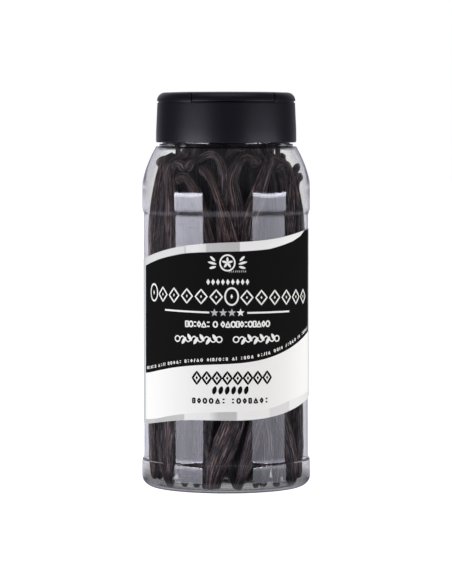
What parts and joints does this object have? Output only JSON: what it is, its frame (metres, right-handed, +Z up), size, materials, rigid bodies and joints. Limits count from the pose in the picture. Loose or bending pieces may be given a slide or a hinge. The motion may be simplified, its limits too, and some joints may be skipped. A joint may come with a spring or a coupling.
{
  "type": "jar of vanilla pods",
  "caption": "Shut clear plastic jar with a black flap-top screw cap and a wavy wrap label, packed with whole dark vanilla pods standing on end.",
  "frame": {"origin": "centre of the jar's standing ring, on the surface that it stands on", "axes": "+Z up along the jar's axis, -Y towards the front of the label"},
  "size_m": [0.082, 0.082, 0.1915],
  "materials": {
    "clear_plastic": "clear blown plastic, glossy",
    "cap_plastic": "black moulded plastic, fine matt grain",
    "label_film": "printed film, black and white fields with silver bands, satin",
    "pod_skin": "dark brown wrinkled vanilla skin, oily sheen"
  },
  "bodies": {
    "root": {"jar": "clear_plastic", "cap": "cap_plastic", "cap_flap_front": "cap_plastic", "cap_flap_back": "cap_plastic", "label": "label_film", "vanilla_pods": "pod_skin"}
  },
  "joints": []
}
